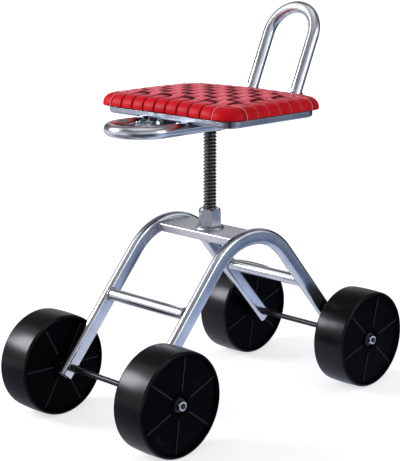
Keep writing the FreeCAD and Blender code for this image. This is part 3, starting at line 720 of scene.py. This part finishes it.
def make_arch(side, name, node):
    # A rounded rectangular section run up one leg, round the bend and down the other.
    bm = bmesh.new()
    bmesh.ops.create_grid(bm, x_segments=1, y_segments=1, size=0.5)
    bmesh.ops.scale(bm, vec=(ARCH_WIDTH, ARCH_DEPTH, 1.0), verts=bm.verts)
    bmesh.ops.bevel(bm, geom=bm.verts[:], offset=ARCH_CORNER, offset_type="OFFSET", segments=6, profile=0.5,
                    affect="VERTICES", material=-1)
    bmesh.ops.delete(bm, geom=bm.faces[:], context="FACES_ONLY")
    foot_y = AXLE_Y + LEG_TAIL * math.cos(LEG_ANGLE)
    foot_z = AXLE_Z - LEG_TAIL * math.sin(LEG_ANGLE)
    lean = Matrix.Rotation(LEG_ANGLE - math.pi / 2, 4, "X")
    bmesh.ops.transform(bm, matrix=Matrix.Translation((side * ARCH_X, -foot_y, foot_z)) @ lean, verts=bm.verts)
    bend_y = ARCH_BEND * math.sin(LEG_ANGLE)
    bend_z = AXLE_Z + (AXLE_Y - bend_y) * math.tan(LEG_ANGLE)
    centre = (side * ARCH_X, 0.0, bend_z - ARCH_BEND * math.cos(LEG_ANGLE))
    edges = run_in(bm, bm.edges[:], Vector((0.0, foot_y - bend_y, bend_z - foot_z)))
    edges = bend_on(bm, edges, centre, (1.0, 0.0, 0.0), -2 * LEG_ANGLE, 44)
    run_in(bm, edges, Vector((0.0, foot_y - bend_y, foot_z - bend_z)))
    clean(bm)
    piece = finish_piece(bm, name, ZINC, "base", 35.0, (node,))
    wall(piece, ARCH_WALL)


make_rail()
make_hoop()
make_arch(-1, "bent_left_arch", "left_arch")
make_arch(1, "bent_right_arch", "right_arch")


# Weld beads

# How far a bead stands in from the leg, its radius, and how much it swells
CROSS_BEAD = (0.8, 2.1, 0.09)
BRIDGE_BEAD = (0.6, 2.0, 0.10)
# How far the ring of a cross tube's bead stands out from the tube, and the step along the bridge's bead
BEAD_OUT = 0.4
BEAD_STEP = 2.5


def bead(bm, path, radius, closed, ripple=0.0):
    # A round bead along a path, swelling a little from drop to drop.
    rings = []
    count = len(path)
    for i, at in enumerate(path):
        before = path[i - 1] if closed or i > 0 else at
        after = path[(i + 1) % count] if closed or i < count - 1 else at
        swell = 1.0 + ripple * (math.sin(i * 1.9) + 0.6 * math.sin(i * 0.73 + 1.0))
        rings.append(add_ring(bm, radius * swell, at, (after - before).normalized(), 10))
    pairs = list(zip(rings, rings[1:]))
    if closed:
        pairs.append((rings[-1], rings[0]))
    for first, second in pairs:
        bmesh.ops.bridge_loops(bm, edges=first + second)
    if not closed:
        bmesh.ops.holes_fill(bm, edges=rings[0] + rings[-1], sides=12)
    clean(bm)


def ring_path(x, y, z, radius, count):
    # A loop round the end of a cross tube.
    turns = [2 * math.pi / count * i for i in range(count)]
    return [Vector((x, y + radius * math.cos(turn), z + radius * math.sin(turn))) for turn in turns]


def box_path(x, half, low, high, step):
    # A loop round the end of the bridge: along its top, down, back along its underside, and up.
    path = []
    sides = ((-half, high, 1, 0), (half, high, 0, -1), (half, low, -1, 0), (-half, low, 0, 1))
    for y, z, way_y, way_z in sides:
        length = 2 * half if way_y else high - low
        for i in range(int(length / step)):
            path.append(Vector((x, y + i * step * way_y, z + i * step * way_z)))
    return path


def make_welds():
    inset, thick, ripple = CROSS_BEAD
    for end, word in ((-1, "front"), (1, "rear")):
        for side, hand in ((-1, "left"), (1, "right")):
            bm = bmesh.new()
            path = ring_path(side * (LEG_IN - inset), end * CROSS_Y, CROSS_Z, CROSS_R + BEAD_OUT, 44)
            bead(bm, path, thick, True, ripple)
            finish_piece(bm, "weld_%s_cross_%s" % (word, hand), WELD, "base", 60.0)
    low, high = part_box("bridge_tube")
    inset, thick, ripple = BRIDGE_BEAD
    for side, hand in ((-1, "left"), (1, "right")):
        bm = bmesh.new()
        path = box_path(side * (LEG_IN - inset), high.y / MM, low.z / MM, high.z / MM, BEAD_STEP)
        bead(bm, path, thick, True, ripple)
        finish_piece(bm, "weld_bridge_" + hand, WELD, "base", 60.0)


make_welds()


# Woven seat

PITCH = 27.0
LONG_STRAPS = 9
CROSS_STRAPS = 6
WEAVE_A = LONG_STRAPS * PITCH / 2
WEAVE_B = CROSS_STRAPS * PITCH / 2
# How far the straps swing down and up at a crossing, and how sharply
LONG_RISE = (1.9, 2.1)
CROSS_RISE = (2.3, 2.5)
CROSS_LIFT = 0.6
SWING_STEEP = 1.2
STRAP_BULGE = 0.8
STRAP_THICK = 1.6
# What the weave adds to the crown in the middle, how the straps lie in the padding, and how much
# higher they lie at the rim
WEAVE_LIFT = 3.0
WEAVE_LAY = -1.6
RIM_LAY = 0.7
# How far before the roll a strap begins to pass from weave to rim, and how long that takes
RIM_START = 16.0
RIM_LENGTH = 20.0
# How wide the straps spread over the rim, the rim's roll and tuck, and what lies flat under it
LONG_SPREAD = 26.0
CROSS_SPREAD = PITCH
ROLL = 17.0
TUCK = 2.5
TUCK_RUN = 7.0
# What the finish reads as the height in the weave where there is no weave
PLAIN_RIDE = 0.75
CORNER_GAP = 0.8
PIPING_R = 0.75
PIPING_LIFT = 0.1
PIPING_FROM = 2.0
PIPING_SHORT = 8.0


def half_at(offset, half, other):
    # How far the outline reaches, at a place along the other side.
    past = abs(offset) - (other - SEAT_CORNER)
    if past <= 0.0:
        return half
    return half - SEAT_CORNER + math.sqrt(max(SEAT_CORNER ** 2 - past ** 2, 0.0))


def strap_reach(along_y, lateral):
    # How far the outline reaches along a strap, at a place across it.
    half, other = (SEAT_B, SEAT_A) if along_y else (SEAT_A, SEAT_B)
    return half_at(lateral, half, other)


def dome(x, y):
    # The cover's crown: the solid's own, and what the weave lifts it in the middle.
    lift = WEAVE_LIFT * max(1.0 - (x / SEAT_A) ** 2, 0.0) * max(1.0 - (y / SEAT_B) ** 2, 0.0)
    return SEAT_TOP + lift - (x * x + y * y) / (2 * SEAT_DOME)


def over_rim(t, half, height):
    # A point on the section at run t from the middle: reach, drop, and the way out of the surface.
    roll = min(ROLL, height - TUCK - 0.2)
    flat = half - roll
    if t <= flat:
        return t, 0.0, 0.0, 1.0
    t -= flat
    if t <= roll * math.pi / 2:
        a = t / roll
        return flat + roll * math.sin(a), roll * (1 - math.cos(a)), math.sin(a), math.cos(a)
    t -= roll * math.pi / 2
    side = height - roll - TUCK
    if t <= side:
        return half, roll + t, 1.0, 0.0
    t -= side
    if t <= TUCK * math.pi / 2:
        a = t / TUCK
        return half - TUCK + TUCK * math.cos(a), height - TUCK + TUCK * math.sin(a), math.cos(a), -math.sin(a)
    t -= TUCK * math.pi / 2
    return half - TUCK - t, height, 0.0, -1.0


def at_rim(t, half):
    # 0 in the weave, 1 where a strap turns down over the rim.
    return min(max((abs(t) - half + ROLL + RIM_START) / RIM_LENGTH, 0.0), 1.0)


def lay(t, half):
    # How deep the straps lie in the padding: deeper in the weave, shallow over the rim.
    return WEAVE_LAY + RIM_LAY * at_rim(t, half)


def strap_point(along_y, middle, a, t, swing):
    # Where a point of a strap lies: a across it, t along it from the seat's middle.
    lateral = middle + a
    half = strap_reach(along_y, lateral)
    spread = LONG_SPREAD if along_y else CROSS_SPREAD
    lateral = middle + a * (1.0 + (spread / STRAP_WIDE - 1.0) * at_rim(t, half))
    sign = 1.0 if t >= 0.0 else -1.0
    height = dome(lateral, half) - SEAT_LOW
    reach, drop, out, up = over_rim(abs(t), half, height)
    down, rise = LONG_RISE if along_y else CROSS_RISE
    puff = STRAP_BULGE * (1.0 - (2 * a / STRAP_WIDE) ** 2) + lay(t, half)
    puff += swing * (rise if swing > 0.0 else down)
    if not along_y:
        puff += CROSS_LIFT * (1.0 - at_rim(t, half))
    z = dome(lateral, min(reach, half)) - drop + up * puff
    reach += out * puff
    if along_y:
        return Vector((lateral, sign * reach, z))
    return Vector((sign * reach, lateral, z))


def section_run(half):
    # How long a strap is from the middle to its end under the rim.
    return half - ROLL + (ROLL + TUCK) * math.pi / 2 + TUCK_RUN


def give_uv(bm, wide, run, weave):
    # One map across and along the strap, one with how high it rides in the weave and how far it is over the
    # rim, less than nothing for a cross strap.
    strap = bm.loops.layers.uv.new("strap")
    depth = bm.loops.layers.uv.new("weave")
    for face in bm.faces:
        for loop in face.loops:
            x, y = loop.vert.co.xy
            loop[strap].uv = ((x + 1.0) * wide / 2 * MM, y * run * MM)
            loop[depth].uv = weave(y * run)


def skin_out(bm):
    # Turns the faces of an open skin outward, its top up.
    bmesh.ops.recalc_face_normals(bm, faces=bm.faces)
    top = max(bm.faces, key=lambda f: f.calc_center_median().z)
    if top.normal.z < 0.0:
        bmesh.ops.reverse_faces(bm, faces=bm.faces)


def make_strap(name, along_y, index, count, other_count):
    # A strap that passes over and under those it crosses and tucks under the rim at both ends.
    middle = (index - (count - 1) / 2) * PITCH
    half = strap_reach(along_y, middle)
    woven = other_count * PITCH / 2
    run = section_run(half)
    first = -(other_count - 1) / 2 * PITCH
    way = 1.0 if along_y == (index % 2 == 0) else -1.0

    def swing(t):
        # From -1 under the neighbours to 1 over them.
        if abs(t) > woven:
            return 0.0
        wave = math.cos(math.pi * (t - first) / PITCH)
        return way * math.tanh(SWING_STEEP * wave) / math.tanh(SWING_STEEP)

    def weave(t):
        # What the finish reads: how high the strap rides, and how far it is over the rim.
        side = min(max((abs(t) - woven) / (half - ROLL * 0.4 - woven), 0.0), 1.0)
        ride = 0.5 + 0.5 * swing(t)
        if not along_y:
            ride = min(ride + 0.15, 1.0)
        return (ride if abs(t) < woven else PLAIN_RIDE, side if along_y else -side)

    bm = bmesh.new()
    bmesh.ops.create_grid(bm, x_segments=8, y_segments=int(run / 1.5), size=1.0)
    give_uv(bm, STRAP_WIDE, run, weave)
    for v in bm.verts:
        a = v.co.x * STRAP_WIDE / 2
        t = v.co.y * run
        v.co = strap_point(along_y, middle, a, t, swing(t))
    skin_out(bm)
    piece = finish_piece(bm, name, STRAP if along_y else CROSS_STRAP, "seat", 60.0)
    wall(piece, STRAP_THICK)


def corner_reach(angle):
    # From the inner corner of a panel to the seat's outline.
    low = 0.0
    high = 80.0
    for halving in range(40):
        middle = (low + high) / 2
        x = WEAVE_A + CORNER_GAP + middle * math.cos(angle)
        y = WEAVE_B + CORNER_GAP + middle * math.sin(angle)
        if abs(x) < SEAT_A and abs(y) < half_at(x, SEAT_B, SEAT_A):
            low = middle
        else:
            high = middle
    return low


def corner_point(angle, t, lift=0.0):
    # Where a point of a corner panel lies: at an angle round its inner corner, and t out from it.
    half = corner_reach(angle)
    x = WEAVE_A + CORNER_GAP
    y = WEAVE_B + CORNER_GAP
    c = math.cos(angle)
    d = math.sin(angle)
    height = dome(x + half * c, y + half * d) - SEAT_LOW
    reach, drop, out, up = over_rim(t, half, height)
    puff = lay(t, half) + 0.5 + lift
    z = dome(x + min(reach, half) * c, y + min(reach, half) * d) - drop + up * puff
    reach += out * puff
    return Vector((x + reach * c, y + reach * d, z))


def make_corner(name, sx, sy):
    # A smooth panel turned down over each corner, and the thin pale piping along its two edges, whose pale
    # colour is a painted highlight.
    bm = bmesh.new()
    bmesh.ops.create_grid(bm, x_segments=20, y_segments=44, size=1.0)
    give_uv(bm, STRAP_WIDE * 0.4, 60.0, lambda t: (PLAIN_RIDE, 1.0))
    turn = Vector((sx, sy, 1.0))
    for v in bm.verts:
        angle = (v.co.x + 1.0) * math.pi / 4
        t = 1.0 + (section_run(corner_reach(angle)) - 1.0) * (v.co.y + 1.0) / 2
        v.co = corner_point(angle, t) * turn
    skin_out(bm)
    piece = finish_piece(bm, "seat_corner_" + name, STRAP, "seat", 60.0)
    wall(piece, STRAP_THICK)
    for angle, word in ((0.0, "side"), (math.pi / 2, "end")):
        bm = bmesh.new()
        run = section_run(corner_reach(angle)) - PIPING_SHORT - PIPING_FROM
        path = [corner_point(angle, PIPING_FROM + run * i / 40, PIPING_LIFT) * turn for i in range(41)]
        bead(bm, path, PIPING_R, False)
        finish_piece(bm, "seat_piping_%s_%s" % (name, word), PIPING, "seat", 60.0)


def round_off(bm, edges, radius, segments):
    bmesh.ops.bevel(bm, geom=edges, offset=radius, segments=segments, profile=0.5, affect="EDGES", material=-1)


def make_core():
    # The padded core under the straps, crowned and drawn in at its rim.
    inset = 5.0
    drop = 8.0
    bm = bmesh.new()
    bmesh.ops.create_cube(bm, size=1.0)
    high = SEAT_TOP - CROWN_DROP - drop - SEAT_LOW
    bmesh.ops.scale(bm, vec=(2 * (SEAT_A - inset), 2 * (SEAT_B - inset), high), verts=bm.verts)
    bmesh.ops.translate(bm, verts=bm.verts, vec=(0.0, 0.0, SEAT_LOW + high / 2))
    posts = [e for e in bm.edges if abs(e.verts[0].co.z - e.verts[1].co.z) > 1.0]
    round_off(bm, posts, SEAT_CORNER - inset, 12)
    top = [e for e in bm.edges if min(v.co.z for v in e.verts) > SEAT_LOW + high - 0.01]
    round_off(bm, top, 6.0, 6)
    low = [e for e in bm.edges if max(v.co.z for v in e.verts) < SEAT_LOW + 0.01]
    round_off(bm, low, 4.0, 4)
    for axis, half in ((0, SEAT_A), (1, SEAT_B)):
        for i in range(-9, 10):
            at = Vector((0.0, 0.0, 0.0))
            at[axis] = i * half / 10
            way = Vector((0.0, 0.0, 0.0))
            way[axis] = 1.0
            everything = bm.verts[:] + bm.edges[:] + bm.faces[:]
            bmesh.ops.bisect_plane(bm, geom=everything, plane_co=at, plane_no=way)
    for v in bm.verts:
        if v.co.z > SEAT_LOW + 6.0:
            v.co.z += dome(v.co.x, v.co.y) - (SEAT_TOP - CROWN_DROP)
    clean(bm)
    piece = finish_piece(bm, "seat_cushion_core", CORE, "seat", 50.0, ("seat_cushion",))


make_core()
for i in range(LONG_STRAPS):
    make_strap("seat_strap_long_%02d" % (i + 1), True, i, LONG_STRAPS, CROSS_STRAPS)
for i in range(CROSS_STRAPS):
    make_strap("seat_strap_cross_%02d" % (i + 1), False, i, CROSS_STRAPS, LONG_STRAPS)
for end, sy in (("front", -1), ("rear", 1)):
    for hand, sx in (("left", -1), ("right", 1)):
        make_corner("%s_%s" % (end, hand), sx, sy)
